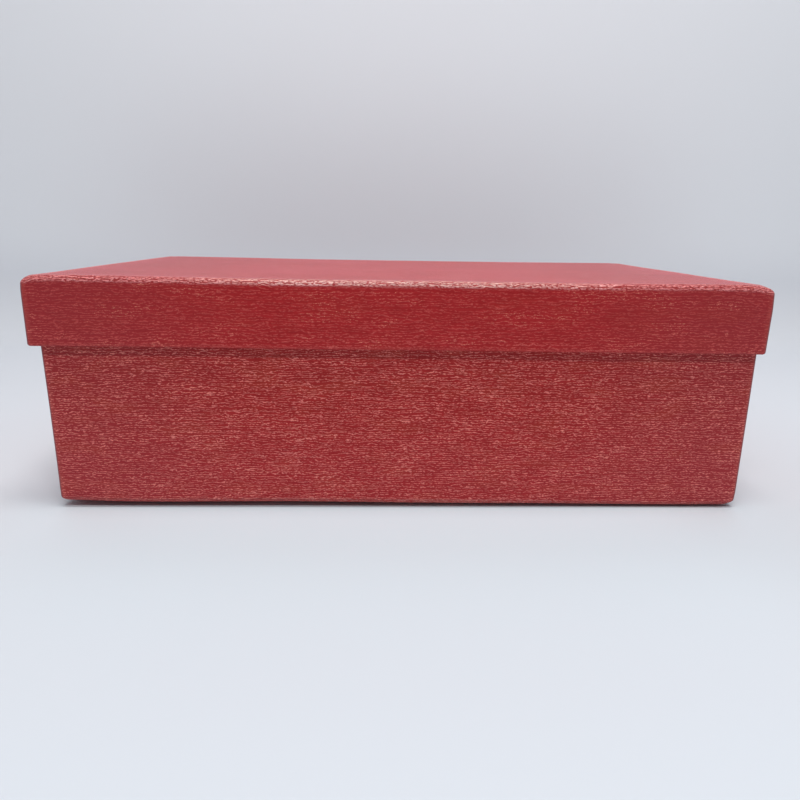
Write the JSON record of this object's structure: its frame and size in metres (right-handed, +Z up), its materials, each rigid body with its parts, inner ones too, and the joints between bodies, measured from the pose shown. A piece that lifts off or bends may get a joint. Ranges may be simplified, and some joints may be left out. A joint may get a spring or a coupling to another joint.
{
  "type": "gift box",
  "caption": "Long, low rigid gift box with a deep base tray and a shallow lift-off lid, covered in red embossed paper and lined in white.",
  "frame": {"origin": "on the floor plane under the middle of the closed box", "axes": "+X along the box's length, +Y from its front to its back, +Z up"},
  "size_m": [0.31, 0.19, 0.1],
  "materials": {
    "red_embossed_paper": "satin",
    "white_lining_paper": "matte",
    "greyboard": "matte",
    "kraft_tape": "matte"
  },
  "bodies": {
    "base": {"base_board": "greyboard", "base_corner_stay_front_left": "kraft_tape", "base_corner_stay_front_right": "kraft_tape", "base_corner_stay_back_left": "kraft_tape", "base_corner_stay_back_right": "kraft_tape", "base_wrap": "red_embossed_paper", "base_liner": "white_lining_paper"},
    "lid": {"lid_board": "greyboard", "lid_corner_stay_front_left": "kraft_tape", "lid_corner_stay_front_right": "kraft_tape", "lid_corner_stay_back_left": "kraft_tape", "lid_corner_stay_back_right": "kraft_tape", "lid_wrap": "red_embossed_paper", "lid_liner": "white_lining_paper"}
  },
  "joints": [
    {"name": "lid_lift", "type": "slide", "parent": "base", "child": "lid", "axis": [0, 0, 1], "range_m": [0, 0.12]}
  ]
}
